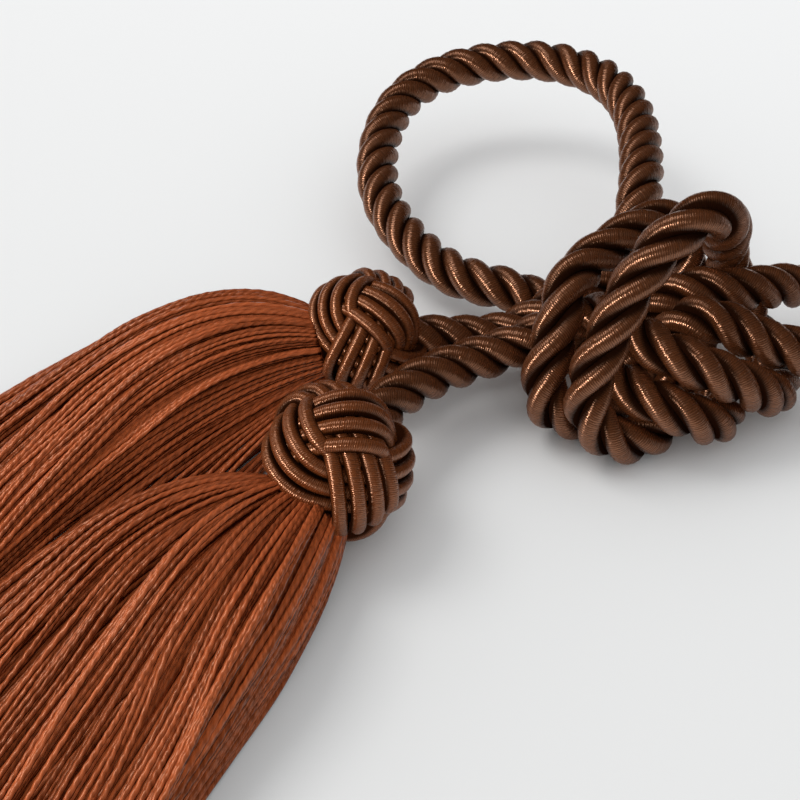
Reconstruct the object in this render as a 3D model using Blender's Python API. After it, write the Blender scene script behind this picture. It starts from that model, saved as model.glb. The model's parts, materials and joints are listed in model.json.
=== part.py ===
"""Curtain tieback: one twisted rope, knotted, with a woven ball head and a skirt of strands at each end.

The tieback lies on a level surface at z = 0. X runs to the right along the long loop and Y runs away
from the tassels' side. Lengths and points are in millimetres from a spot under the knot here. Each
mesh is made in metres and placed so that the origin is under the middle of the whole tieback.
"""

import math

import bmesh
import bpy
import numpy as np
from mathutils import Matrix, Vector

MM = 0.001
KNOT = (-28.5, 13.5)    # where the spot under the knot lies from the origin

# Rope: three strands laid up right-handed, a little fatter where it lies slack.
ROPE = 9.2              # diameter in the knot and the tails
SLACK_ROPE = 9.7        # diameter round the small ring
LOOP_ROPE = 9.4         # diameter along the long loop
STRANDS = 3
POINTS_A_STRAND = 3     # points of the section on each strand
RINGS_A_TURN = 7
GROOVE = 0.66           # depth of the groove between strands, as a share of the radius
FLAT = 0.3              # how far the yarn flattens where it rests on the surface

# Settling of the knot: passes lie beside each other and no bend is tighter than the rope allows.
STEP = 2.0              # between the points that are moved
CLEARANCE = 0.4         # between two passes
TIGHTEST = 7.0          # the smallest bend radius
ROUNDS = 400
HELD_ROUNDS = 300       # rounds in which the hand-made route still holds the rope
HOLD = 0.03             # how strongly it holds
PUSH = 0.7              # how far two passes move apart in a round, as a share of their overlap
SMOOTHING = 0.054       # how strongly the rope straightens
STIFFNESS = 0.45        # how strongly its bends even out
EVENING = 10            # rounds between evening out the points
NEIGHBOURS = 3          # points this few steps apart never push each other
HALF_BEND = 0.8         # up to this share of half a turn, two points lie in one bend
CURVE_POINTS = 60       # of the spline, for each point of the hand-made route

# The rope's route, by hand: name, diameter, turn length of the strands, points in millimetres.
ROUTE = (
    ("front tail", ROPE, 21.0, (
        (-57.5, -28.0, 16.5), (-51.2, -16.0, 15.5), (-44.0, -8.7, 14.5), (-36.0, -2.5, 13.0),
        (-27.0, 1.5, 13.0))),
    ("first pass under", ROPE, 22.0, (
        (-17.0, 4.0, 15.0), (-8.0, 0.0, 18.0), (-2.5, -12.5, 21.0), (7.0, -14.5, 18.0),
        (16.0, -14.0, 14.0), (22.5, -9.5, 9.5))),
    ("first turn behind", ROPE, 24.0, (
        (28.0, -1.5, 5.5), (28.0, 6.0, 4.3), (26.0, 16.0, 6.0), (21.0, 24.0, 13.0), (18.0, 21.5, 22.0))),
    ("first wrap over", ROPE, 26.0, (
        (15.5, 15.5, 29.5), (13.5, 9.5, 36.5), (12.0, 5.5, 42.0), (9.0, 3.5, 46.0), (4.5, 1.0, 45.0),
        (-1.0, -2.0, 40.5), (-6.0, -5.0, 36.0), (-10.5, -12.0, 28.5), (-13.0, -14.0, 15.0),
        (-13.0, -16.0, 8.0))),
    ("first pass below", ROPE, 22.0, (
        (-10.5, -17.5, 4.3), (-5.0, -18.5, 4.3), (4.0, -15.0, 4.3), (7.0, -5.0, 8.0), (2.0, 2.0, 14.0))),
    ("first way out", ROPE, 21.0, (
        (7.0, 1.0, 22.0), (12.5, -3.0, 21.0), (20.0, -4.0, 18.5), (29.5, -2.0, 15.0))),
    ("long loop", LOOP_ROPE, 22.0, (
        (48.0, -8.0, 8.0), (72.0, -13.0, 4.4), (105.0, -17.0, 4.4), (140.0, -18.0, 4.4),
        (172.0, -15.0, 4.4), (196.0, -5.0, 4.4), (205.0, 9.0, 4.4), (196.0, 23.0, 4.4),
        (172.0, 32.0, 4.4), (140.0, 35.0, 4.4), (105.0, 32.0, 4.4), (72.0, 27.0, 5.0), (50.0, 22.0, 9.0))),
    ("second way in", ROPE, 21.0, (
        (35.0, 21.0, 14.0), (23.0, 13.0, 19.0), (14.5, 10.0, 21.0), (9.5, 10.5, 22.0))),
    ("second pass below", ROPE, 22.0, (
        (1.0, 8.0, 18.0), (-2.0, 8.0, 9.0), (-6.0, 1.0, 4.3), (-12.0, -7.0, 4.3))),
    ("second wrap over", ROPE, 26.0, (
        (-19.5, -13.5, 5.0), (-21.0, -10.0, 11.0), (-20.5, -6.5, 16.0), (-18.5, -1.5, 21.0),
        (-16.0, 5.0, 26.0), (-10.0, 12.5, 28.5), (-2.0, 18.5, 30.0), (3.5, 24.5, 29.0))),
    ("second turn behind", ROPE, 24.0, (
        (9.0, 28.0, 25.0), (12.0, 29.0, 15.0), (12.0, 22.0, 6.0), (13.0, 10.0, 4.3), (15.0, 0.0, 4.3))),
    ("second pass under", ROPE, 22.0, (
        (14.5, -11.0, 5.0), (8.0, -14.5, 8.0), (0.0, -16.0, 12.5), (-6.5, -15.5, 15.0))),
    ("ring leg", LOOP_ROPE, 21.0, (
        (-10.0, -2.0, 12.0), (-14.0, 10.0, 8.0), (-18.5, 23.5, 9.0))),
    ("ring", SLACK_ROPE, 20.0, (
        (-32.5, 26.5, 9.0), (-45.5, 38.0, 10.0), (-54.0, 53.5, 12.0), (-55.5, 70.0, 15.0),
        (-50.0, 90.0, 18.5), (-37.5, 100.5, 21.0), (-22.0, 102.0, 23.0), (-10.0, 99.0, 24.0),
        (0.0, 90.0, 24.5), (5.0, 71.5, 25.0), (4.0, 52.0, 25.0), (2.0, 38.0, 25.0))),
    ("ring end", ROPE, 22.0, (
        (-2.0, 22.0, 18.0), (-8.0, 18.0, 15.0), (-16.0, 13.0, 12.0))),
    ("rear tail", ROPE, 21.0, (
        (-24.0, 10.0, 9.0), (-33.5, 8.5, 10.0), (-42.0, 5.8, 12.0), (-51.0, 4.5, 13.0))),
)

# Woven balls: a three-lead, four-bight band of four cords round a core.
# The middle and the mouth's direction are in the room; the roll turns the weave round its axis.
BALLS = {
    "front": dict(middle=(-61.6, -33.0, 14.8), radius=14.4, stretch=(1.0, 1.1, 1.06), cord=3.05,
                  mouth=(-0.57, -0.71, -0.42), roll=-6.0),
    "rear": dict(middle=(-57.2, 5.2, 13.2), radius=13.4, stretch=(1.0, 1.0, 1.02), cord=2.85,
                 mouth=(-0.97, -0.15, -0.2), roll=5.0),
}
BIGHTS = 4
LEADS = 3
CORDS = 4
BAND_MIDDLE = 8.0       # latitude of the band's middle line, degrees
BAND_SWING = 36.0       # how far it swings to each side, degrees
LIFT = 1.25             # how far the band rises over and dips under itself
CROSSING = 30.0         # phase from a swing's middle to where the band crosses itself, degrees
GROOVE_DEPTH = 0.9      # between two cords of the band
BAND_DEPTH = 1.8        # how far a panel reaches into the core
INNER_EDGE = 0.94       # half width of a panel's inner side, as a share of its outer one
PANEL_RINGS = 9
NEARBY = 0.01           # phase to either side of a point that gives the band's direction there
CORE_SIDES = 20
MOUTH_DEPTH = 9.0       # from the ball's middle to the flat in its mouth
GAP = 0.35              # between pieces
UNDERSIDE = 400.0       # reach of the cut that levels the underside

# Skirts: the strands' roots are fused in a round heading that sits in the mouth.
# Compass angles in degrees from +X: for the middle strands, how far they spread to each side, and
# how much further the middle ones are turned. They are how the strands leave the mouth, where their
# ends lie from the ball's middle, and how they end. Climb is how much more steeply the top strands
# leave, and the bottom ones less.
SKIRTS = {
    "front": dict(leaving=(214.0, 45.5, 25.0), ends=(232.5, 18.5, 11.0), final=(244.5, 8.0, -2.0),
                  climb=0.65, reach=106.0),
    "rear": dict(leaving=(174.0, 28.5, 11.5), ends=(209.0, 13.0, 8.5), final=(229.0, 2.0, 15.5),
                 climb=0.58, reach=98.0),
}
SLOPE = -0.1            # how steeply the strands leave the mouth
HEADING = 0.64          # the heading's radius, as a share of the ball's
HEADING_THICKNESS = 1.6
ROOTS = 0.585           # the radius of the strands' roots, as a share of the ball's
ROOT_PITCH = 0.225      # between roots, as a share of the roots' radius
ROOT_STRAND = 0.75      # a three-sided strand's radius at its root
END_STRAND = 0.95       # and at its end
LAYER = 1.75            # between layers of strands where they lie
RESTING = 0.06          # a strand's underside this near the surface lies on it
LEAVING_PULL = 0.3      # how far a strand keeps the way it leaves, as a share of the reach
FINAL_PULL = 0.41       # how far it has the way it ends, as a share of the reach
SPREADING = 3.0         # layers are full this much sooner than the strand's end
STATIONS = (0.0, 0.1, 0.25, 0.45, 0.7, 1.0)     # shares of a strand's length
NEXT_SHARE = 0.02       # to either side of a station, for the strand's direction there


def spline(points, spacing=0.5):
    """A natural cubic spline through the points, as evenly spaced points and their point positions."""
    points = np.array(points, float)
    count = len(points)
    knots = np.zeros(count)
    for index in range(1, count):
        knots[index] = knots[index - 1] + math.sqrt(np.linalg.norm(points[index] - points[index - 1]))
    width = np.diff(knots)
    matrix = np.eye(count)
    right = np.zeros((count, 3))
    for index in range(1, count - 1):
        matrix[index, index - 1:index + 2] = (width[index - 1], 2 * (width[index - 1] + width[index]),
                                              width[index])
        right[index] = 6 * ((points[index + 1] - points[index]) / width[index]
                            - (points[index] - points[index - 1]) / width[index - 1])
    bend = np.linalg.solve(matrix, right)
    at = np.linspace(0.0, knots[-1], count * CURVE_POINTS)
    cell = np.clip(np.searchsorted(knots, at) - 1, 0, count - 2)
    left = ((knots[cell + 1] - at) / width[cell])[:, None]
    share = 1.0 - left
    square = (width[cell] ** 2 / 6)[:, None]
    curve = (left * points[cell] + share * points[cell + 1]
             + ((left ** 3 - left) * bend[cell] + (share ** 3 - share) * bend[cell + 1]) * square)
    travelled = along(curve)
    at_points = np.interp(knots, at, travelled)
    stops = np.linspace(0.0, travelled[-1], int(round(travelled[-1] / spacing)) + 1)
    return sample(curve, stops), at_points


def along(curve):
    """The distance travelled at each point of a curve."""
    return np.concatenate(([0.0], np.cumsum(np.linalg.norm(np.diff(curve, axis=0), axis=1))))


def sample(curve, stops):
    """The points of a curve at the given distances."""
    travelled = along(curve)
    return np.stack([np.interp(stops, travelled, curve[:, axis]) for axis in range(3)], axis=1)


def settle(curve, width):
    """Push the passes of a rope apart until they lie beside each other, and ease its bends."""
    home = curve.copy()
    count = len(curve)
    order = np.arange(count)
    apart = np.abs(order[:, None] - order[None, :]) * STEP
    limit = (width[:, None] + width[None, :]) / 2 + CLEARANCE
    chord = 2 * TIGHTEST * np.sin(np.minimum(apart / (2 * TIGHTEST), math.pi / 2))
    limit = np.where(apart < math.pi * TIGHTEST * HALF_BEND, np.minimum(chord, limit), limit)
    limit[apart < (NEIGHBOURS - 0.5) * STEP] = 0.0
    for turn in range(ROUNDS):
        offset = curve[:, None, :] - curve[None, :, :]
        distance = np.linalg.norm(offset, axis=2) + 1e-9
        push = np.where(distance < limit, (limit - distance) / 2, 0.0)
        touching = np.maximum((push > 0).sum(axis=1), 1)[:, None]
        move = (offset / distance[:, :, None] * push[:, :, None]).sum(axis=1)
        curve = curve + PUSH * move / np.sqrt(touching)
        if turn < HELD_ROUNDS:
            curve = curve + HOLD * (home - curve)
        sag = np.zeros_like(curve)
        sag[1:-1] = (curve[:-2] + curve[2:]) / 2 - curve[1:-1]
        curve = curve + SMOOTHING * sag
        curve[2:-2] -= STIFFNESS * ((sag[1:-3] + sag[3:-1]) / 2 - sag[2:-2])
        curve[:, 2] = np.maximum(curve[:, 2], width / 2 - FLAT)
        if turn % EVENING == EVENING - 1:
            curve = sample(curve, np.linspace(0.0, along(curve)[-1], count))
    return curve


def rope_route():
    """The settled middle line of the rope, its diameter and the length of its strands' turn."""
    points = [point for _, _, _, stretch in ROUTE for point in stretch]
    widths = [width for _, width, _, stretch in ROUTE for _ in stretch]
    turns = [turn for _, _, turn, stretch in ROUTE for _ in stretch]
    fine, at_points = spline(points)
    length = along(fine)[-1]
    stops = np.linspace(0.0, length, int(round(length / STEP)) + 1)
    width = np.interp(stops, at_points, widths)
    turn = np.interp(stops, at_points, turns)
    return settle(sample(fine, stops), width), width, turn


def carried_frames(curve):
    """Tangents and side vectors carried along a curve without twisting."""
    tangent = np.gradient(curve, axis=0)
    tangent /= np.linalg.norm(tangent, axis=1)[:, None]
    side = np.zeros_like(curve)
    side[0] = np.cross(tangent[0], (0.0, 0.0, 1.0))
    side[0] /= np.linalg.norm(side[0])
    for index in range(1, len(curve)):
        chord = curve[index] - curve[index - 1]
        square = chord @ chord
        side_left = side[index - 1] - 2 / square * (chord @ side[index - 1]) * chord
        tangent_left = tangent[index - 1] - 2 / square * (chord @ tangent[index - 1]) * chord
        turn = tangent[index] - tangent_left
        square = turn @ turn
        side[index] = side_left - 2 / max(square, 1e-12) * (turn @ side_left) * turn
    return tangent, side


def material(name, colour, roughness):
    """A Principled material of one colour."""
    made = bpy.data.materials.new(name)
    made.use_nodes = True
    shader = made.node_tree.nodes["Principled BSDF"]
    shader.inputs["Base Color"].default_value = (*colour, 1.0)
    shader.inputs["Roughness"].default_value = roughness
    shader.inputs["Metallic"].default_value = 0.0
    return made


def object_of(name, shape):
    """A mesh object from a shape in millimetres, with its faces turned outward."""
    shape.normal_update()
    bmesh.ops.recalc_face_normals(shape, faces=shape.faces)
    shape.transform(Matrix.Scale(MM, 4) @ Matrix.Translation((*KNOT, 0.0)))
    mesh = bpy.data.meshes.new(name)
    shape.to_mesh(mesh)
    shape.free()
    made = bpy.data.objects.new(name, mesh)
    bpy.context.scene.collection.objects.link(made)
    return made


def object_from(name, points, faces):
    """A mesh object from points in millimetres and the faces between them."""
    shape = bmesh.new()
    corners = [shape.verts.new(point) for point in points]
    for face in faces:
        shape.faces.new([corners[corner] for corner in face])
    return object_of(name, shape)


def lofted(sections):
    """Points and faces of a closed tube through sections of equal numbers of points."""
    size = len(sections[0])
    points = [point for section in sections for point in section]
    faces = [tuple(reversed(range(size)))]
    for ring in range(len(sections) - 1):
        start = ring * size
        for corner in range(size):
            following = (corner + 1) % size
            faces.append((start + corner, start + following, start + size + following,
                          start + size + corner))
    last = (len(sections) - 1) * size
    faces.append(tuple(range(last, last + size)))
    return points, faces


def strand_section(radius, twist):
    """The radius and angle of each point round the rope's three strands."""
    count = STRANDS * POINTS_A_STRAND
    for corner in range(count):
        angle = math.tau * corner / count
        valley = corner % POINTS_A_STRAND == 0
        yield radius * (GROOVE if valley else 1.0), angle + twist


def rope():
    """The whole rope as one solid with its three strands raised."""
    curve, width, turn = rope_route()
    travelled = along(curve)
    turned = np.concatenate(([0.0], np.cumsum(np.diff(travelled) / ((turn[1:] + turn[:-1]) / 2))))
    tangent, side = carried_frames(curve)
    rings = int(round(turned[-1] * RINGS_A_TURN))
    stops = np.interp(np.linspace(0.0, turned[-1], rings + 1), turned, travelled)
    sections = []
    for stop in stops:
        share = np.interp(stop, travelled, np.arange(len(curve)))
        below = min(int(share), len(curve) - 2)
        part = share - below
        middle = curve[below] * (1 - part) + curve[below + 1] * part
        forward = tangent[below] * (1 - part) + tangent[below + 1] * part
        forward /= np.linalg.norm(forward)
        across = side[below] * (1 - part) + side[below + 1] * part
        across -= forward * (across @ forward)
        across /= np.linalg.norm(across)
        upward = np.cross(forward, across)
        radius = np.interp(stop, travelled, width) / 2
        twist = math.tau * np.interp(stop, travelled, turned)
        section = []
        for reach, angle in strand_section(radius, twist):
            section.append(middle + reach * (math.cos(angle) * across + math.sin(angle) * upward))
        sections.append(section)
    made = object_from("rope", *lofted(sections))
    for ball in BALLS.values():
        apply_boolean(made, ball_shape(ball, ball["radius"] + GAP), "DIFFERENCE")
    rest_flat(made)
    return made


def ball_axes(ball):
    """The ball's axes: to one side, the third one, and toward the rope."""
    toward_rope = -np.array(ball["mouth"])
    toward_rope /= np.linalg.norm(toward_rope)
    side = np.cross((0.0, 0.0, 1.0), toward_rope)
    side /= np.linalg.norm(side)
    return np.stack([side, np.cross(toward_rope, side), toward_rope])


def in_room(ball, point):
    """A point given from the ball's middle along its axes, stretched and placed in the room."""
    return np.array(ball["middle"]) + (np.array(point) @ ball_axes(ball)) * np.array(ball["stretch"])


def band_direction(phase, roll):
    """The direction from the ball's middle to the band's middle line."""
    latitude = math.radians(BAND_MIDDLE + BAND_SWING * math.sin(phase))
    longitude = phase * LEADS / BIGHTS + math.radians(roll)
    return np.array((math.cos(latitude) * math.cos(longitude),
                     math.cos(latitude) * math.sin(longitude), math.sin(latitude)))


def band_point(phase, offset, reach, base, roll):
    """A point offset to one side of the band's middle line, at a reach from the ball's middle."""
    outward = band_direction(phase, roll)
    ahead = band_direction(phase + NEARBY, roll) - band_direction(phase - NEARBY, roll)
    sideways = np.cross(outward, ahead / np.linalg.norm(ahead))
    return (math.cos(offset / base) * outward + math.sin(offset / base) * sideways) * reach


def panel(index, ball, base):
    """One raised stretch of the band, from where it dips under to where it dips under again."""
    cord = ball["cord"]
    edge = CORDS * cord / 2
    sections = []
    for ring in range(PANEL_RINGS):
        phase = math.pi * (index + 1 + ring / (PANEL_RINGS - 1)) - math.radians(CROSSING)
        rise = base + LIFT * math.sin(2 * phase) / math.sin(2 * math.radians(CROSSING))
        profile = [(-edge, 0.0)]
        for rib in range(1, 2 * CORDS):
            profile.append((rib * cord / 2 - edge, cord / 2 - (0.0 if rib % 2 else GROOVE_DEPTH)))
        inner = base - BAND_DEPTH - rise
        profile += [(edge, 0.0), (INNER_EDGE * edge, inner), (-INNER_EDGE * edge, inner)]
        sections.append([in_room(ball, band_point(phase, offset, rise + height, base, ball["roll"]))
                         for offset, height in profile])
    return lofted(sections)


def apply_boolean(target, other, operation):
    """Join or cut another object into the target, and remove that object."""
    change = target.modifiers.new("boolean", "BOOLEAN")
    change.operation = operation
    change.solver = "MANIFOLD"
    change.object = other
    bpy.context.view_layer.objects.active = target
    bpy.ops.object.modifier_apply(modifier=change.name)
    bpy.data.objects.remove(other, do_unlink=True)


def cylinder(radius, start, end, sides=32):
    """A closed cylinder between two points."""
    start = np.array(start)
    way = np.array(end) - start
    depth = np.linalg.norm(way)
    shape = bmesh.new()
    bmesh.ops.create_cone(shape, cap_ends=True, segments=sides, radius1=radius, radius2=radius, depth=depth)
    turn = Vector((0.0, 0.0, 1.0)).rotation_difference(Vector(way)).to_matrix().to_4x4()
    shape.transform(Matrix.Translation(Vector(start + way / 2)) @ turn)
    return object_of("cylinder", shape)


def ball_shape(ball, radius):
    """A stretched ball round the same middle."""
    shape = bmesh.new()
    bmesh.ops.create_uvsphere(shape, u_segments=CORE_SIDES, v_segments=CORE_SIDES // 2, radius=radius)
    for vertex in shape.verts:
        vertex.co = Vector(in_room(ball, vertex.co))
    return object_of("ball", shape)


def rest_flat(made):
    """Cut away what lies below the surface, which leaves a flat where the yarn rests."""
    below = cylinder(UNDERSIDE, (0.0, 0.0, -UNDERSIDE), (0.0, 0.0, 0.0))
    apply_boolean(made, below, "DIFFERENCE")


def woven_head(name, ball):
    """A ball of four woven cords, open at its mouth and flat where it rests."""
    base = ball["radius"] - ball["cord"] / 2 - LIFT
    head = ball_shape(ball, base)
    head.name = name
    for index in range(2 * BIGHTS):
        apply_boolean(head, object_from("panel", *panel(index, ball, base)), "UNION")
    mouth = cylinder(HEADING * ball["radius"] + GAP, in_room(ball, (0.0, 0.0, -MOUTH_DEPTH)),
                     in_room(ball, (0.0, 0.0, -2 * ball["radius"])))
    apply_boolean(head, mouth, "DIFFERENCE")
    rest_flat(head)
    return head


def strand_radius(share):
    """A strand's radius at a share of its length."""
    return ROOT_STRAND + (END_STRAND - ROOT_STRAND) * share


def turned(angles, column):
    """A compass angle for a strand of that column, in radians."""
    middle, spread, belly = angles
    return math.radians(middle + spread * column + belly * (1.0 - column * column))


def strand_middle(layout, ball, column, row, layer, share):
    """A point of one strand's middle line, from its root in the mouth to its end on the pile."""
    mouth = -ball_axes(ball)[2]
    level = np.cross((0.0, 0.0, 1.0), mouth)
    level /= np.linalg.norm(level)
    raised = np.cross(mouth, level)
    start = in_room(ball, (0.0, 0.0, -MOUTH_DEPTH - GAP - HEADING_THICKNESS / 2))
    root = start + ROOTS * ball["radius"] * (column * level + row * raised)
    leaving = turned(layout["leaving"], column)
    ends = turned(layout["ends"], column)
    final = turned(layout["final"], column)
    reach = layout["reach"]
    end = np.array(ball["middle"]) + reach * np.array((math.cos(ends), math.sin(ends), 0.0))
    end[2] = strand_radius(1.0) / 2 + layer * LAYER
    way_out = np.array((math.cos(leaving), math.sin(leaving), SLOPE + layout["climb"] * row))
    second = root + LEAVING_PULL * reach * way_out
    third = end - FINAL_PULL * reach * np.array((math.cos(final), math.sin(final), 0.0))
    rest = 1.0 - share
    point = (rest ** 3 * root + 3 * rest ** 2 * share * second + 3 * rest * share ** 2 * third
             + share ** 3 * end)
    lowest = strand_radius(share) / 2 + layer * LAYER * min(1.0, share * SPREADING)
    point[2] = max(point[2], lowest)
    return point


def strand(layout, ball, column, row, layer):
    """One three-sided strand, level where it rests on the surface."""
    sections = []
    for share in STATIONS:
        middle = strand_middle(layout, ball, column, row, layer, share)
        before = strand_middle(layout, ball, column, row, layer, max(share - NEXT_SHARE, 0.0))
        after = strand_middle(layout, ball, column, row, layer, min(share + NEXT_SHARE, 1.0))
        forward = (after - before) / np.linalg.norm(after - before)
        across = np.cross(forward, (0.0, 0.0, 1.0))
        across /= np.linalg.norm(across)
        upward = np.cross(across, forward)
        section = [middle + strand_radius(share) * (math.cos(turn) * across + math.sin(turn) * upward)
                   for turn in (math.pi / 2, math.pi * 7 / 6, math.pi * 11 / 6)]
        for point in section:
            if point[2] < RESTING:
                point[2] = 0.0
        sections.append(section)
    return object_from("strand", *lofted(sections))


def skirt(name, layout, ball):
    """A skirt of strands that stand apart, with their roots fused in a round heading."""
    near = MOUTH_DEPTH + GAP
    made = cylinder(HEADING * ball["radius"], in_room(ball, (0.0, 0.0, -near)),
                    in_room(ball, (0.0, 0.0, -near - HEADING_THICKNESS)))
    made.name = name
    line_pitch = ROOT_PITCH * math.sqrt(0.75)
    half_steps = int(2 / ROOT_PITCH)
    for step in range(-half_steps, half_steps + 1):
        column = step * ROOT_PITCH / 2
        tall = int(math.sqrt(max(1.0 - column * column, 0.0)) / line_pitch)
        lines = [line for line in range(-tall, tall + 1) if (line - step) % 2 == 0]
        for layer, line in enumerate(lines):
            apply_boolean(made, strand(layout, ball, column, line * line_pitch, layer), "UNION")
    return made


def finish(made, look, group):
    """Give an object its material and its place in the collection."""
    made.data.name = made.name
    made.data.materials.clear()
    made.data.materials.append(look)
    bpy.context.scene.collection.objects.unlink(made)
    group.objects.link(made)


def main():
    """Build the tieback in a collection of its own."""
    for old in list(bpy.data.objects):
        bpy.data.objects.remove(old, do_unlink=True)
    group = bpy.data.collections.new("curtain_tieback")
    bpy.context.scene.collection.children.link(group)
    cord = rope()
    for side, ball in BALLS.items():
        finish(woven_head("head_" + side, ball),
               material("head_yarn_" + side, (0.16, 0.055, 0.022), 0.4), group)
        finish(skirt("skirt_" + side, SKIRTS[side], ball),
               material("skirt_yarn_" + side, (0.27, 0.065, 0.028), 0.4), group)
    finish(cord, material("rope_yarn", (0.115, 0.035, 0.016), 0.45), group)


main()
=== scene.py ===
"""Curtain tieback: how its laid rope, woven ball heads and skirts of twisted yarn look.

Lengths and points are in millimetres from the spot under the knot, as in the part's own script, and
to_room turns them into the frame's metres. The tieback lies on the floor at z = 0. The floor and the
lamps are given in the frame's metres.
"""

import json
import math

import bpy
import numpy as np
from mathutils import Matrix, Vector

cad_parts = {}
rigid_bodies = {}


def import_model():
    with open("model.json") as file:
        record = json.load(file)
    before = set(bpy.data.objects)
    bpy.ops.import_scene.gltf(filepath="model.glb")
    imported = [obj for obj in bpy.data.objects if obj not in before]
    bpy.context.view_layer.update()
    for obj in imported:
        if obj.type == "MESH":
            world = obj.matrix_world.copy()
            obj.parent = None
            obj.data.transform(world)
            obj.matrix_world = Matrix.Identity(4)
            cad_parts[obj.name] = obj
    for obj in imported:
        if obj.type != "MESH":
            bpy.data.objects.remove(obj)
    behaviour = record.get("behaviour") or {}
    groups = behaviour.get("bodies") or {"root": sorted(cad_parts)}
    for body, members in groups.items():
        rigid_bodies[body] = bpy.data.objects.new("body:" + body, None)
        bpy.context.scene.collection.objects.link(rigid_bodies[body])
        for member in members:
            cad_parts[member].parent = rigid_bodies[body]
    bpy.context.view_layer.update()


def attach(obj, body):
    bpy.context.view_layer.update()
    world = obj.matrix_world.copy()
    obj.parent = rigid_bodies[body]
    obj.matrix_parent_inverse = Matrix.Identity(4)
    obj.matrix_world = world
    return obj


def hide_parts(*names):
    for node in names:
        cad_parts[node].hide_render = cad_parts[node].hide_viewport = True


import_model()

MM = 0.001
KNOT = (-28.5, 13.5, 0.0)       # where the spot under the knot lies in the frame

# Camera: its place from the spot under the knot, and how steeply it looks down.
CAMERA_PLACE = (-50.0, -202.0, 185.0)
CAMERA_DOWN = 42.5
LENS = 59.4
NEAREST = 0.01          # the camera shows nothing closer, metres

# Rope: three strands laid up right-handed, a little fatter where it lies slack.
ROPE = 9.2              # diameter in the knot and the tails
SLACK_ROPE = 9.7        # diameter round the small ring
LOOP_ROPE = 9.4         # diameter along the long loop
STRANDS = 3
STRAND_OFFSET = 0.272   # from the rope's middle to a strand's, as a share of the diameter
STRAND_RADIUS = 0.242   # as a share of the rope's diameter
STRAND_SIDES = 14       # of a strand's round section
STRAND_STEP = 0.8       # between the rings of a strand
TUCKED = 5.0            # how far the rope's ends reach into the heads
FLAT = 0.3              # how far the yarn flattens where it rests on the surface

# Settling of the knot: passes lie beside each other and no bend is tighter than the rope allows.
STEP = 2.0              # between the points that are moved
CLEARANCE = 0.4         # between two passes
TIGHTEST = 7.0          # the smallest bend radius
ROUNDS = 400
HELD_ROUNDS = 300       # rounds in which the given route still holds the rope
HOLD = 0.03             # how strongly it holds
PUSH = 0.7              # how far two passes move apart in a round, as a share of their overlap
SMOOTHING = 0.054       # how strongly the rope straightens
STIFFNESS = 0.45        # how strongly its bends even out
EVENING = 10            # rounds between evening out the points
NEIGHBOURS = 3          # points this few steps apart never push each other
HALF_BEND = 0.8         # up to this share of half a turn, two points lie in one bend
CURVE_POINTS = 60       # of a spline, for each point that it goes through
SPACING = 0.5           # between the points on the given route's spline
FINE_SPACING = 0.25     # and on the settled route's
NO_DISTANCE = 1e-9      # keeps two points in one place from dividing by zero
NO_TURN = 1e-12         # and so does this where a curve doesn't turn
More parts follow.
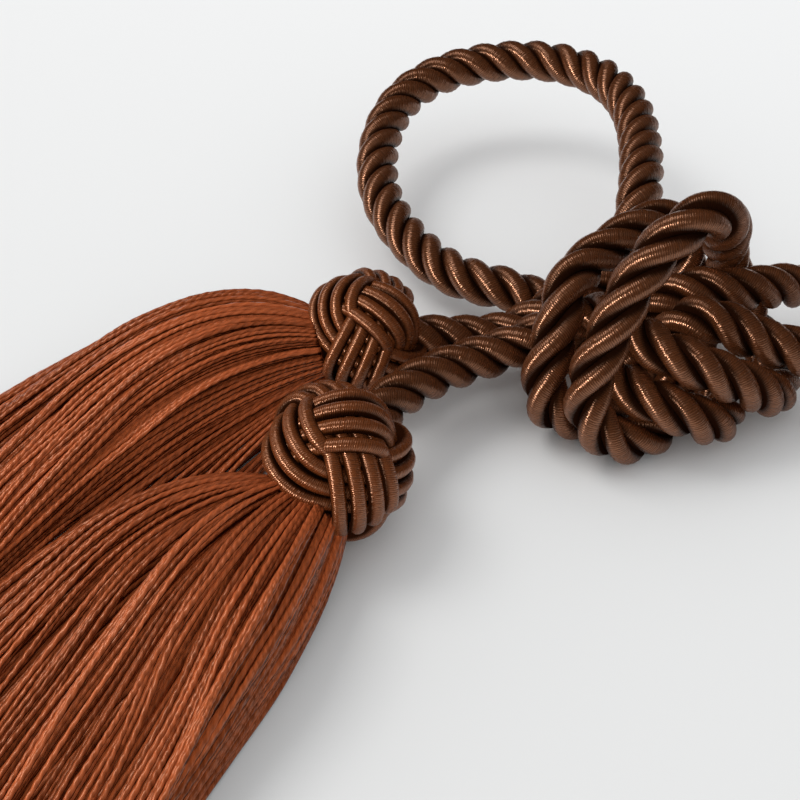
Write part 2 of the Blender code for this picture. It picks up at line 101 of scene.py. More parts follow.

# The rope's route: name, diameter, turn length of the strands, points in millimetres.
ROUTE = (
    ("front tail", ROPE, 21.0, (
        (-57.5, -28.0, 16.5), (-51.2, -16.0, 15.5), (-44.0, -8.7, 14.5), (-36.0, -2.5, 13.0),
        (-27.0, 1.5, 13.0))),
    ("first pass under", ROPE, 22.0, (
        (-17.0, 4.0, 15.0), (-8.0, 0.0, 18.0), (-2.5, -12.5, 21.0), (7.0, -14.5, 18.0),
        (16.0, -14.0, 14.0), (22.5, -9.5, 9.5))),
    ("first turn behind", ROPE, 24.0, (
        (28.0, -1.5, 5.5), (28.0, 6.0, 4.3), (26.0, 16.0, 6.0), (21.0, 24.0, 13.0), (18.0, 21.5, 22.0))),
    ("first wrap over", ROPE, 26.0, (
        (15.5, 15.5, 29.5), (13.5, 9.5, 36.5), (12.0, 5.5, 42.0), (9.0, 3.5, 46.0), (4.5, 1.0, 45.0),
        (-1.0, -2.0, 40.5), (-6.0, -5.0, 36.0), (-10.5, -12.0, 28.5), (-13.0, -14.0, 15.0),
        (-13.0, -16.0, 8.0))),
    ("first pass below", ROPE, 22.0, (
        (-10.5, -17.5, 4.3), (-5.0, -18.5, 4.3), (4.0, -15.0, 4.3), (7.0, -5.0, 8.0), (2.0, 2.0, 14.0))),
    ("first way out", ROPE, 21.0, (
        (7.0, 1.0, 22.0), (12.5, -3.0, 21.0), (20.0, -4.0, 18.5), (29.5, -2.0, 15.0))),
    ("long loop", LOOP_ROPE, 22.0, (
        (48.0, -8.0, 8.0), (72.0, -13.0, 4.4), (105.0, -17.0, 4.4), (140.0, -18.0, 4.4),
        (172.0, -15.0, 4.4), (196.0, -5.0, 4.4), (205.0, 9.0, 4.4), (196.0, 23.0, 4.4),
        (172.0, 32.0, 4.4), (140.0, 35.0, 4.4), (105.0, 32.0, 4.4), (72.0, 27.0, 5.0), (50.0, 22.0, 9.0))),
    ("second way in", ROPE, 21.0, (
        (35.0, 21.0, 14.0), (23.0, 13.0, 19.0), (14.5, 10.0, 21.0), (9.5, 10.5, 22.0))),
    ("second pass below", ROPE, 22.0, (
        (1.0, 8.0, 18.0), (-2.0, 8.0, 9.0), (-6.0, 1.0, 4.3), (-12.0, -7.0, 4.3))),
    ("second wrap over", ROPE, 26.0, (
        (-19.5, -13.5, 5.0), (-21.0, -10.0, 11.0), (-20.5, -6.5, 16.0), (-18.5, -1.5, 21.0),
        (-16.0, 5.0, 26.0), (-10.0, 12.5, 28.5), (-2.0, 18.5, 30.0), (3.5, 24.5, 29.0))),
    ("second turn behind", ROPE, 24.0, (
        (9.0, 28.0, 25.0), (12.0, 29.0, 15.0), (12.0, 22.0, 6.0), (13.0, 10.0, 4.3), (15.0, 0.0, 4.3))),
    ("second pass under", ROPE, 22.0, (
        (14.5, -11.0, 5.0), (8.0, -14.5, 8.0), (0.0, -16.0, 12.5), (-6.5, -15.5, 15.0))),
    ("ring leg", LOOP_ROPE, 21.0, (
        (-10.0, -2.0, 12.0), (-14.0, 10.0, 8.0), (-18.5, 23.5, 9.0))),
    ("ring", SLACK_ROPE, 20.0, (
        (-32.5, 26.5, 9.0), (-45.5, 38.0, 10.0), (-54.0, 53.5, 12.0), (-55.5, 70.0, 15.0),
        (-50.0, 90.0, 18.5), (-37.5, 100.5, 21.0), (-22.0, 102.0, 23.0), (-10.0, 99.0, 24.0),
        (0.0, 90.0, 24.5), (5.0, 71.5, 25.0), (4.0, 52.0, 25.0), (2.0, 38.0, 25.0))),
    ("ring end", ROPE, 22.0, (
        (-2.0, 22.0, 18.0), (-8.0, 18.0, 15.0), (-16.0, 13.0, 12.0))),
    ("rear tail", ROPE, 21.0, (
        (-24.0, 10.0, 9.0), (-33.5, 8.5, 10.0), (-42.0, 5.8, 12.0), (-51.0, 4.5, 13.0))),
)

# Woven balls: a three-lead, four-bight band of four cords.
# The middle and the mouth's direction are in the room; the roll turns the weave round its axis.
BALLS = {
    "front": dict(middle=(-61.6, -33.0, 14.8), radius=14.4, stretch=(1.0, 1.1, 1.06), cord=3.05,
                  mouth=(-0.57, -0.71, -0.42), roll=-6.0),
    "rear": dict(middle=(-57.2, 5.2, 13.2), radius=13.4, stretch=(1.0, 1.0, 1.02), cord=2.85,
                 mouth=(-0.97, -0.15, -0.2), roll=5.0),
}
BIGHTS = 4
LEADS = 3
CORDS = 4
BAND_MIDDLE = 8.0       # latitude of the band's middle line, degrees
BAND_SWING = 36.0       # how far it swings to each side, degrees
LIFT = 1.25             # how far the band rises over and dips under itself
CROSSING = 30.0         # phase from a swing's middle to where the band crosses itself, degrees
BAND_STEP = 0.025       # phase between the rings of a cord, radians
NEARBY = 0.01           # phase to either side of a point that gives the band's direction there
CORD_SIDES = 12         # of a cord's round section
CORD_DRAWN = 0.465      # a cord's radius, as a share of the room it has
CORE_RINGS = 25
CORE_SIDES = 32
POLE = 0.05             # latitude cut flat at each end of the core, radians
MOUTH_DEPTH = 9.0       # from the ball's middle to the flat in its mouth

# Skirts: the strands leave a round heading in the mouth and lie down in a pile.
# Compass angles in degrees from +X: for the middle strands, how far they spread to each side, and
# how much further the middle ones are turned. They are how the strands leave the mouth, where their
# ends lie from the ball's middle, and how they end. Climb is how much more steeply the top strands
# leave, and the bottom ones less. Base spread is how much further the bottom ones of one side spread.
SKIRTS = {
    "front": dict(leaving=(214.0, 45.5, 25.0), ends=(231.0, 17.0, 11.5), final=(243.5, 8.0, -2.0),
                  climb=0.65, reach=106.0, base_spread=0.0, seed=11),
    "rear": dict(leaving=(174.0, 28.5, 11.5), ends=(209.0, 13.0, 8.5), final=(229.0, 2.0, 15.5),
                 climb=0.58, reach=98.0, base_spread=3.0, seed=12),
}
SLOPE = -0.1            # how steeply the strands leave the mouth
ROOTS = 0.6             # the radius of the strands' roots, as a share of the ball's
LEAVING_PULL = 0.3      # how far a strand keeps the way it leaves, as a share of the reach
FINAL_PULL = 0.41       # how far it has the way it ends, as a share of the reach
SPREADING = 3.0         # the pile has its height this much sooner than the strand's end
PILE = 4.2              # half the pile's height in its middle
LOCKS = 120             # small groups that the strands lie in
LOCK_STRAY = 1.0        # how far a lock's end strays, degrees
OWN_STRAY = 1.0         # and a strand's from its lock's
CROSSING_STRAY = 4.5    # and that of a strand that lies across the others
CROSSING_ONE = 14       # one strand in so many lies across the others
LOCK_SPREAD = 0.05      # how far a root lies from its lock's place, as a share of the roots' radius
OUTERMOST = 0.995       # no root lies further out than this share of that radius
SIDES_HIGHER = 0.3      # how much nearer the top of the pile the strands at its sides count
OWN_WAVES = 0.7         # how far a strand's waves are shifted from its lock's, radians
LINE_POINTS = 60        # of a strand's middle line
LONG_WAVE = 0.9         # how far a strand's slow waves reach to the side at its end
LONG_RADIANS = 7.0        # and the radians along it
SHORT_WAVE = 0.35       # the same for its shorter waves
SHORT_RADIANS = 19.0
RISE = 0.4              # and for those up and down
RISE_RADIANS = 11.0
RAISED_STRANDS = 95     # on top, with their two plies raised
SMOOTH_STRANDS = 250    # round ones below them
HIDDEN_STRANDS = 120    # at the bottom of the pile
SMOOTH_SIDES = 5
SMOOTH_STEP = 2.5       # between the rings of a smooth strand
HIDDEN_SIDES = 4
HIDDEN_STEP = 4.0       # between the rings of a hidden one
YARN = 0.52             # half the width of a strand
YARN_WAIST = 0.46       # half its thickness across the two plies
YARN_TURN = 4.4         # length of one turn of the plies
YARN_SIDES = 6          # of a raised strand's section, which both plies share
UNEVEN_TURN = 0.22      # how much the turns differ, from strand to strand and along a strand
SWING_TURNS = (5.0, 9.0)        # turns from one tight place along a strand to the next
THICKNESSES = (0.86, 1.1)       # thinnest and thickest strand, as a share of the yarn's size
UNEVEN_THICKNESS = 0.08 # how much the thickness changes along a strand
THICKNESS_RADIANS = 1.7 # radians of that change for each turn of the plies
RINGS_A_TURN = 6
NEXT_STRAND = 1000.0    # added to the length along each next strand or cord, so that their tones differ

# Yarn: the satin thread wound round the rope's strands and the balls' cords.
THREAD = 0.35           # between two turns of thread
WOUND_TOGETHER = 5.0    # threads that are wound side by side, which slants them a little
THREAD_NOISE = 0.8      # how fine the thread's unevenness is
THREAD_DETAIL = 2.0
SHIFTED = 0.7           # how far the unevenness shifts the threads, in turns of thread
RIDGE_HEIGHT = 0.35     # of each thread in the bump
UNEVEN_HEIGHT = 3.4     # of the unevenness in it
THREAD_BUMP = 0.6
THREAD_DEPTH = 0.00008  # metres
THREAD_SHADE_RANGE = (0.1, 0.9)        # how far outward a side faces, from deep in a groove to open, over which the painted shade fades
THREAD_KEPT_IN_SHADE = 0.12      # how much of its colour the thread keeps deep in a groove, under the painted shade
RIDGE_SHADE = 0.25       # how much lighter a thread is on its ridge than in the valley between threads: painted shade
SATIN = 1.0             # how strongly the thread shines
RIDGE_SHINE = (-1.0, 0.4, 0.35, 1.0)            # from valley to ridge, and how much shines there
THREAD_ROUGHNESS = (0.35, 0.65, 0.36, 0.24)     # along the unevenness, and how rough it is there
ANISOTROPY = 0.8
THREAD_TINT = (1.0, 0.5, 0.3)
YARN_IOR = 1.9          # of the thread and of the skirts' yarn

# Yarn: the silky two-ply yarn of the skirts.
PLIES = 2
STREAKS = 0.45          # how fine the streaks are along a strand, for each millimetre
STREAK_NOISE = 1.2
STREAK_DETAIL = 3.0
PLY_HEIGHT = 0.4        # of the plies in the bump
SILK_BUMP = 0.4
SILK_DEPTH = 0.00014    # metres
STRAND_TONE = 0.5       # how much the tone differs from strand to strand
STREAK_TONE = 0.5       # and from streak to streak
PLY_SHADE = 0.12         # and from ply to groove, darker in the groove as painted shade
SILK_SHADE_RANGE = (-0.3, 0.6) # how far upward a side faces, from deep in the pile to open, over which the painted shade fades
SILK_KEPT_IN_SHADE = 0.15        # how much of its colour the yarn keeps deep in the pile, under the painted shade
SILK = 0.9              # how strongly the yarn shines
STREAK_SHINE = (0.35, 0.65, 0.2, 1.0)           # along the streaks, and how much shines there
SILK_ROUGHNESS = 0.28
SILK_TINT = (1.0, 0.52, 0.33)

# Colours: each yarn's dark and light tone, and the painted shade deep between strands and in the pile.
ROPE_TONES = ((0.025, 0.0075, 0.0025), (0.074, 0.0225, 0.0075))
HEAD_TONES = ((0.046, 0.0115, 0.0028), (0.135, 0.035, 0.009))
# the core's near black is painted shade for the gaps between a ball's cords
CORE_SHADE_TONES = ((0.008, 0.0026, 0.0012), (0.02, 0.006, 0.003))
SKIRT_TONES = ((0.09, 0.0165, 0.0034), (0.43, 0.097, 0.029))
# painted shade: mixed in where sides face into the grooves between strands and cords, and down into the
# skirts' pile
PAINTED_SHADE = (0.004, 0.0012, 0.0006)

# Mix node: where its colour sockets stand among its inputs and outputs.
MIX_DARK = 6
MIX_LIGHT = 7
MIX_RESULT = 2

# Setting, in metres: the floor, with painted light that brightens it to the right and the back, two lamps
# and the room.
FLOOR_HALF = 2.0
FLOOR_PAINTED_TONES = ((0.735, 0.735, 0.722), (0.89, 0.89, 0.88))
FLOOR_SLANT = 0.8       # a metre to the right brightens it as much as this many to the back
FLOOR_PAINTED_LIGHT = (-0.35, 0.45)  # where the painted light starts and stops brightening it
FLOOR_ROUGHNESS = 0.6
FLOOR_SHINE = 0.3
OVERHEAD = dict(place=(-0.83, 0.3, 1.22), size=0.7, power=6.4, colour=(1.0, 1.0, 1.0))
WINDOW = dict(place=(-1.6, -0.95, 0.66), size=0.25, power=28.0, colour=(1.0, 0.98, 0.95))
ROOM_COLOUR = (0.97, 0.98, 1.0)
HORIZON = 0.8           # the room's brightness there
OVERHEAD_MORE = 0.15    # and how much brighter it is straight up


def to_room(points):
    """Points in the frame's metres."""
    return (np.asarray(points) + np.array(KNOT)) * MM


def along(curve):
    """The distance travelled at each point of a curve."""
    return np.concatenate(([0.0], np.cumsum(np.linalg.norm(np.diff(curve, axis=0), axis=1))))


def sample(curve, stops):
    """The points of a curve at the given distances."""
    travelled = along(curve)
    return np.stack([np.interp(stops, travelled, curve[:, axis]) for axis in range(3)], axis=1)


def unit(vectors):
    """Vectors of length one."""
    return vectors / np.linalg.norm(vectors, axis=-1, keepdims=True)


def make_camera():
    """The camera at the photograph's place and angle."""
    made = bpy.data.objects.new("camera", bpy.data.cameras.new("camera"))
    bpy.context.scene.collection.objects.link(made)
    made.location = to_room(CAMERA_PLACE)
    made.rotation_euler = (math.radians(90.0 - CAMERA_DOWN), 0.0, 0.0)
    made.data.lens = LENS
    made.data.clip_start = NEAREST
    bpy.context.scene.camera = made


# ---------------------------------------------------------------- meshes


def tube_piece(name, tubes, look):
    """One mesh of closed tubes: rings of points, the length at each, turns of the pattern per mm."""
    points = []
    faces = []
    layout = []
    start = 0
    for rings, lengths, turning in tubes:
        count, sides = rings.shape[:2]
        points.append(rings.reshape(-1, 3))
        corner = np.arange(sides)
        following = (corner + 1) % sides
        ring = np.arange(count - 1)[:, None] * sides + start
        quads = np.stack([ring + corner, ring + following, ring + sides + following, ring + sides + corner],
                         axis=2).reshape(-1, 4)
        faces += quads.tolist()
        share = np.arange(sides) / sides
        ahead = share + 1.0 / sides
        near = np.repeat(lengths[:-1], sides)
        far = np.repeat(lengths[1:], sides)
        share = np.tile(share, count - 1)
        ahead = np.tile(ahead, count - 1)
        here = np.repeat((lengths[:-1] - lengths[0]) * turning, sides)
        there = np.repeat((lengths[1:] - lengths[0]) * turning, sides)
        layout.append(np.stack([near, share + here, near, ahead + here, far, ahead + there, far,
                                share + there], axis=1).reshape(-1, 2))
        last = start + (count - 1) * sides
        faces.append(list(range(start + sides - 1, start - 1, -1)))
        faces.append(list(range(last, last + sides)))
        layout.append(np.stack([np.full(2 * sides, lengths[0]), np.zeros(2 * sides)], axis=1))
        start += count * sides
    mesh = bpy.data.meshes.new(name)
    mesh.from_pydata(to_room(np.concatenate(points)).tolist(), [], faces)
    places = np.concatenate(layout).astype(np.float32)
    mesh.uv_layers.new(name="strand").data.foreach_set("uv", places.ravel())
    mesh.shade_smooth()
    mesh.materials.append(look)
    made = bpy.data.objects.new(name, mesh)
    bpy.context.scene.collection.objects.link(made)
    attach(made, "root")
    return made


def round_tube(curve, outward, radius, sides, start=0.0):
    """Rings of points round a curve, turned so that the first point is on the outward side."""
    tangent = unit(np.gradient(curve, axis=0))
    outward = unit(outward - tangent * (outward * tangent).sum(axis=1)[:, None])
    across = np.cross(tangent, outward)
    angle = math.tau * np.arange(sides) / sides
    radius = np.broadcast_to(radius, len(curve))[:, None, None]
    rings = curve[:, None, :] + radius * (np.cos(angle)[None, :, None] * outward[:, None, :]
                                          + np.sin(angle)[None, :, None] * across[:, None, :])
    return rings, start + along(curve), 0.0


# ---------------------------------------------------------------- rope


def spline(points, spacing=SPACING):
    """A natural cubic spline through the points, as evenly spaced points and their point positions."""
    points = np.array(points, float)
    count = len(points)
    knots = np.zeros(count)
    for index in range(1, count):
        knots[index] = knots[index - 1] + math.sqrt(np.linalg.norm(points[index] - points[index - 1]))
    width = np.diff(knots)
    matrix = np.eye(count)
    right = np.zeros((count, 3))
    for index in range(1, count - 1):
        matrix[index, index - 1:index + 2] = (width[index - 1], 2 * (width[index - 1] + width[index]),
                                              width[index])
        right[index] = 6 * ((points[index + 1] - points[index]) / width[index]
                            - (points[index] - points[index - 1]) / width[index - 1])
    bend = np.linalg.solve(matrix, right)
    at = np.linspace(0.0, knots[-1], count * CURVE_POINTS)
    cell = np.clip(np.searchsorted(knots, at) - 1, 0, count - 2)
    left = ((knots[cell + 1] - at) / width[cell])[:, None]
    share = 1.0 - left
    square = (width[cell] ** 2 / 6)[:, None]
    curve = (left * points[cell] + share * points[cell + 1]
             + ((left ** 3 - left) * bend[cell] + (share ** 3 - share) * bend[cell + 1]) * square)
    travelled = along(curve)
    at_points = np.interp(knots, at, travelled)
    stops = np.linspace(0.0, travelled[-1], int(round(travelled[-1] / spacing)) + 1)
    return sample(curve, stops), at_points


def settle(curve, width):
    """Push the passes of a rope apart until they lie beside each other, and ease its bends."""
    home = curve.copy()
    count = len(curve)
    order = np.arange(count)
    apart = np.abs(order[:, None] - order[None, :]) * STEP
    limit = (width[:, None] + width[None, :]) / 2 + CLEARANCE
    chord = 2 * TIGHTEST * np.sin(np.minimum(apart / (2 * TIGHTEST), math.pi / 2))
    limit = np.where(apart < math.pi * TIGHTEST * HALF_BEND, np.minimum(chord, limit), limit)
    limit[apart < (NEIGHBOURS - 0.5) * STEP] = 0.0
    for turn in range(ROUNDS):
        offset = curve[:, None, :] - curve[None, :, :]
        distance = np.linalg.norm(offset, axis=2) + NO_DISTANCE
        push = np.where(distance < limit, (limit - distance) / 2, 0.0)
        touching = np.maximum((push > 0).sum(axis=1), 1)[:, None]
        move = (offset / distance[:, :, None] * push[:, :, None]).sum(axis=1)
        curve = curve + PUSH * move / np.sqrt(touching)
        if turn < HELD_ROUNDS:
            curve = curve + HOLD * (home - curve)
        sag = np.zeros_like(curve)
        sag[1:-1] = (curve[:-2] + curve[2:]) / 2 - curve[1:-1]
        curve = curve + SMOOTHING * sag
        curve[2:-2] -= STIFFNESS * ((sag[1:-3] + sag[3:-1]) / 2 - sag[2:-2])
        curve[:, 2] = np.maximum(curve[:, 2], width / 2 - FLAT)
        if turn % EVENING == EVENING - 1:
            curve = sample(curve, np.linspace(0.0, along(curve)[-1], count))
    return curve


def rope_route():
    """The settled middle line of the rope, its diameter and the length of its strands' turn."""
    points = [point for _, _, _, stretch in ROUTE for point in stretch]
    widths = [width for _, width, _, stretch in ROUTE for _ in stretch]
    turns = [turn for _, _, turn, stretch in ROUTE for _ in stretch]
    fine, at_points = spline(points)
    length = along(fine)[-1]
    stops = np.linspace(0.0, length, int(round(length / STEP)) + 1)
    width = np.interp(stops, at_points, widths)
    turn = np.interp(stops, at_points, turns)
    return settle(sample(fine, stops), width), width, turn


def carried_sides(curve):
    """Side vectors carried along a curve without twisting."""
    tangent = unit(np.gradient(curve, axis=0))
    side = np.zeros_like(curve)
    side[0] = unit(np.cross(tangent[0], (0.0, 0.0, 1.0)))
    for index in range(1, len(curve)):
        chord = curve[index] - curve[index - 1]
        square = chord @ chord
        side_left = side[index - 1] - 2 / square * (chord @ side[index - 1]) * chord
        tangent_left = tangent[index - 1] - 2 / square * (chord @ tangent[index - 1]) * chord
        turn = tangent[index] - tangent_left
        square = turn @ turn
        side[index] = side_left - 2 / max(square, NO_TURN) * (turn @ side_left) * turn
    return side


def outside_heads(curve):
    """Which points of a curve are outside the heads, apart from the tucked ends."""
    outside = np.ones(len(curve), bool)
    for ball in BALLS.values():
        reach = np.linalg.norm((curve - np.array(ball["middle"])) / np.array(ball["stretch"]), axis=1)
        outside &= reach > ball["radius"] - TUCKED
    return outside


def make_rope(look):
    """The laid rope: three round strands wound with fine thread."""
    curve, width, turn = rope_route()
    travelled = along(curve)
    turned = np.concatenate(([0.0], np.cumsum(np.diff(travelled) / ((turn[1:] + turn[:-1]) / 2))))
    side = carried_sides(curve)
    stops = np.arange(0.0, travelled[-1], STRAND_STEP)
    fine = spline_at(curve, stops)
    forward = unit(np.gradient(fine, axis=0))
    across = np.stack([np.interp(stops, travelled, side[:, axis]) for axis in range(3)], axis=1)
    across = unit(across - forward * (across * forward).sum(axis=1)[:, None])
    upward = np.cross(forward, across)
    thick = np.interp(stops, travelled, width)
    angle = math.tau * np.interp(stops, travelled, turned)
    keep = outside_heads(fine)
    tubes = []
    for strand in range(STRANDS):
        turn_angle = angle + math.tau * strand / STRANDS
        outward = np.cos(turn_angle)[:, None] * across + np.sin(turn_angle)[:, None] * upward
        middle = fine + STRAND_OFFSET * thick[:, None] * outward
        tubes.append(round_tube(middle[keep], outward[keep], STRAND_RADIUS * thick[keep], STRAND_SIDES,
                                start=strand * NEXT_STRAND))
    for rings, _, _ in tubes:
        rings[:, :, 2] = np.maximum(rings[:, :, 2], 0.0)
    made = tube_piece("rope_laid", tubes, look)
    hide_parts("rope")


def spline_at(curve, stops):
    """A curve's points at the given distances, on a spline through it."""
    fine, _ = spline(curve, FINE_SPACING)
    length = along(fine)[-1]
    return sample(fine, stops * length / stops[-1])


# ---------------------------------------------------------------- heads


def ball_axes(ball):
    """The ball's axes: to one side, the third one, and toward the rope."""
    toward_rope = unit(-np.array(ball["mouth"]))
    side = unit(np.cross((0.0, 0.0, 1.0), toward_rope))
    return np.stack([side, np.cross(toward_rope, side), toward_rope])


def in_room(ball, points):
    """Points given from the ball's middle along its axes, stretched and placed in the room."""
    return np.array(ball["middle"]) + (np.asarray(points) @ ball_axes(ball)) * np.array(ball["stretch"])


def band_direction(phase, roll):
    """The directions from the ball's middle to the band's middle line."""
    latitude = np.radians(BAND_MIDDLE + BAND_SWING * np.sin(phase))
    longitude = phase * LEADS / BIGHTS + math.radians(roll)
    return np.stack([np.cos(latitude) * np.cos(longitude), np.cos(latitude) * np.sin(longitude),
                     np.sin(latitude)], axis=1)


def make_head(side, look):
    """The four cords of a ball, woven over and under each other."""
    ball = BALLS[side]
    cord = ball["cord"]
    base = ball["radius"] - cord / 2 - LIFT
    phase = np.arange(0.0, math.tau * BIGHTS + BAND_STEP, BAND_STEP)
    outward = band_direction(phase, ball["roll"])
    ahead = unit(band_direction(phase + NEARBY, ball["roll"])
                 - band_direction(phase - NEARBY, ball["roll"]))
    sideways = np.cross(outward, ahead)
    reach = base + LIFT * np.sin(2 * phase) / math.sin(2 * math.radians(CROSSING))
    tubes = []
    for index in range(CORDS):
        offset = (index - (CORDS - 1) / 2) * cord / base
        direction = math.cos(offset) * outward + math.sin(offset) * sideways
        middle = in_room(ball, direction * reach[:, None])
        tube = round_tube(middle, middle - np.array(ball["middle"]), CORD_DRAWN * cord, CORD_SIDES,
                          start=index * NEXT_STRAND)
        tube[0][:, :, 2] = np.maximum(tube[0][:, :, 2], 0.0)
        tubes.append(tube)
    made = tube_piece("head_%s_woven" % side, tubes, look)
    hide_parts("head_" + side)


def make_core(side, look):
    """The wound core between the cords of a ball, coloured near black as painted shade in the gaps between
    the cords.
    """
    ball = BALLS[side]
    reach = ball["radius"] - ball["cord"] / 2 - 2 * LIFT
    latitude = np.linspace(-math.pi / 2 + POLE, math.pi / 2 - POLE, CORE_RINGS)
    angle = math.tau * np.arange(CORE_SIDES) / CORE_SIDES
    rings = np.stack([np.cos(latitude)[:, None] * np.cos(angle)[None, :],
                      np.cos(latitude)[:, None] * np.sin(angle)[None, :],
                      np.repeat(np.sin(latitude)[:, None], CORE_SIDES, axis=1)], axis=2) * reach
    rings[:, :, 2] = np.maximum(rings[:, :, 2], -MOUTH_DEPTH)
    rings = in_room(ball, rings.reshape(-1, 3)).reshape(rings.shape)
    tube_piece("head_%s_core" % side, [(rings, reach * latitude, 0.0)], look)


# ---------------------------------------------------------------- skirts


def turned(angles, column):
    """A compass angle for a strand of that column, in radians."""
    middle, spread, belly = angles
    return math.radians(middle + spread * column + belly * (1.0 - min(column * column, 1.0)))


def strand_curve(layout, ball, column, row, stray, shares):
    """The middle line of one strand, from its root in the mouth to its end on the pile."""
    mouth = -ball_axes(ball)[2]
    level = unit(np.cross((0.0, 0.0, 1.0), mouth))
    raised = np.cross(mouth, level)
    start = in_room(ball, (0.0, 0.0, -MOUTH_DEPTH))
    root = start + ROOTS * ball["radius"] * (column * level + row * raised)
    tall = math.sqrt(max(1.0 - column * column, 0.0))
    height = YARN + (row + tall) * PILE
    if column > 0.0:
        column *= 1.0 + layout["base_spread"] * max(0.0, -row)
    leaving = turned(layout["leaving"], column)
    ends = turned(layout["ends"], column) + math.radians(stray)
    final = turned(layout["final"], column)
    reach = layout["reach"]
    end = np.array(ball["middle"]) + reach * np.array((math.cos(ends), math.sin(ends), 0.0))
    end[2] = height
    way_out = np.array((math.cos(leaving), math.sin(leaving), SLOPE + layout["climb"] * row))
    second = root + LEAVING_PULL * reach * way_out
    third = end - FINAL_PULL * reach * np.array((math.cos(final), math.sin(final), 0.0))
    share = shares[:, None]
    rest = 1.0 - share
    curve = (rest ** 3 * root + 3 * rest ** 2 * share * second + 3 * rest * share ** 2 * third
             + share ** 3 * end)
    lowest = YARN + (height - YARN) * np.minimum(1.0, shares * SPREADING)
    curve[:, 2] = np.maximum(curve[:, 2], lowest)
    return curve


def lock_places(draw):
    """Places in a disc of radius one, spread evenly from its one side to the other."""
    columns = 2.0 * (np.arange(LOCKS) + draw.uniform(0.0, 1.0, LOCKS)) / LOCKS - 1.0
    rows = draw.uniform(-1.0, 1.0, LOCKS) * np.sqrt(1.0 - columns ** 2)
    return np.stack([columns, rows], axis=1)


def strand_lines(layout, ball):
    """The middle lines of all strands of a skirt, from the bottom of the pile to its top."""
    draw = np.random.default_rng(layout["seed"])
    locks = [(place, draw.normal(0.0, LOCK_STRAY), draw.uniform(0.0, math.tau, 3))
             for place in lock_places(draw)]
    strands = []
    for index in range(RAISED_STRANDS + SMOOTH_STRANDS + HIDDEN_STRANDS):
        lock_place, lock_stray, lock_waves = locks[index % LOCKS]
        place = lock_place + draw.normal(0.0, LOCK_SPREAD, 2)
        place /= max(1.0, np.linalg.norm(place) / OUTERMOST)
        column, row = place
        own_stray = draw.normal(0.0, CROSSING_STRAY if index % CROSSING_ONE == 0 else OWN_STRAY)
        inward = -math.copysign(abs(own_stray), column)
        stray = (lock_stray + inward) * (1.0 - column * column)
        waves = lock_waves + draw.normal(0.0, OWN_WAVES, 3)
        depth = math.sqrt(1.0 - column * column) - row - SIDES_HIGHER * abs(column)
        strands.append((depth, column, row, stray, waves))
    strands.sort(key=lambda strand: -strand[0])
    return [strand_line(layout, ball, *strand[1:]) for strand in strands]


def strand_line(layout, ball, column, row, stray, waves):
    """A strand's middle line with its own slow waves."""
    shares = np.linspace(0.0, 1.0, LINE_POINTS)
    curve = strand_curve(layout, ball, column, row, stray, shares)
    tangent = unit(np.gradient(curve, axis=0))
    level = unit(np.cross(tangent, (0.0, 0.0, 1.0)))
    wave = (LONG_WAVE * np.sin(waves[0] + LONG_RADIANS * shares)
            + SHORT_WAVE * np.sin(waves[1] + SHORT_RADIANS * shares)) * shares
    rise = RISE * np.sin(waves[2] + RISE_RADIANS * shares) * shares
    curve = curve + wave[:, None] * level
    curve[:, 2] = np.maximum(curve[:, 2] + rise, YARN)
    return curve


def make_skirt(side, look):
    """A skirt of loosely twisted strands: the top ones have their two plies raised."""
    lines = strand_lines(SKIRTS[side], BALLS[side])
    raised = []
    smooth = []
    for index, line in enumerate(lines):
        start = index * NEXT_STRAND
        if index < HIDDEN_STRANDS:
            smooth.append(smooth_strand(line, HIDDEN_SIDES, HIDDEN_STEP, start))
        elif index < HIDDEN_STRANDS + SMOOTH_STRANDS:
            smooth.append(smooth_strand(line, SMOOTH_SIDES, SMOOTH_STEP, start))
        else:
            raised.append(plied_strand(line, start, index))
    made = tube_piece("skirt_%s_raised" % side, raised, look)
    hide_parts("skirt_" + side)
    tube_piece("skirt_%s_strands" % side, smooth, look)


def smooth_strand(line, sides, step, start):
    """A round strand; its plies are in the material."""
    length = along(line)[-1]
    line = sample(line, np.linspace(0.0, length, int(length / step)))
    upward = np.tile((0.0, 0.0, 1.0), (len(line), 1))
    rings, lengths, _ = round_tube(line, upward, (YARN + YARN_WAIST) / 2, sides, start)
    return rings, lengths, 1.0 / YARN_TURN


def plied_strand(line, start, seed):
    """A strand of two raised plies that turn along it, here tighter and there looser."""
    draw = np.random.default_rng(seed)
    length = along(line)[-1]
    own_turn = YARN_TURN * (1.0 + UNEVEN_TURN * draw.uniform(-1.0, 1.0))
    count = int(length / own_turn * RINGS_A_TURN)
    curve = sample(line, np.linspace(0.0, length, count))
    tangent = unit(np.gradient(curve, axis=0))
    across = unit(np.cross(tangent, (0.0, 0.0, 1.0)))
    upward = np.cross(across, tangent)
    step = np.arange(count) / RINGS_A_TURN
    swing = UNEVEN_TURN * np.sin(draw.uniform(0.0, math.tau)
                                 + step * math.tau / draw.uniform(*SWING_TURNS))
    angle = start + math.tau * (step + swing)
    thickness = draw.uniform(*THICKNESSES) * (
        1.0 + UNEVEN_THICKNESS * np.sin(draw.uniform(0.0, math.tau) + step * THICKNESS_RADIANS))
    wide = (np.cos(angle)[:, None] * across + np.sin(angle)[:, None] * upward) * thickness[:, None]
    thin = np.cross(tangent, wide)
    corner = math.tau * np.arange(YARN_SIDES) / YARN_SIDES
    rings = curve[:, None, :] + (YARN * np.cos(corner)[None, :, None] * wide[:, None, :]
                                 + YARN_WAIST * np.sin(corner)[None, :, None] * thin[:, None, :])
    rings[:, :, 2] = np.maximum(rings[:, :, 2], 0.0)
    return rings, start + along(curve), 0.0


# ---------------------------------------------------------------- materials


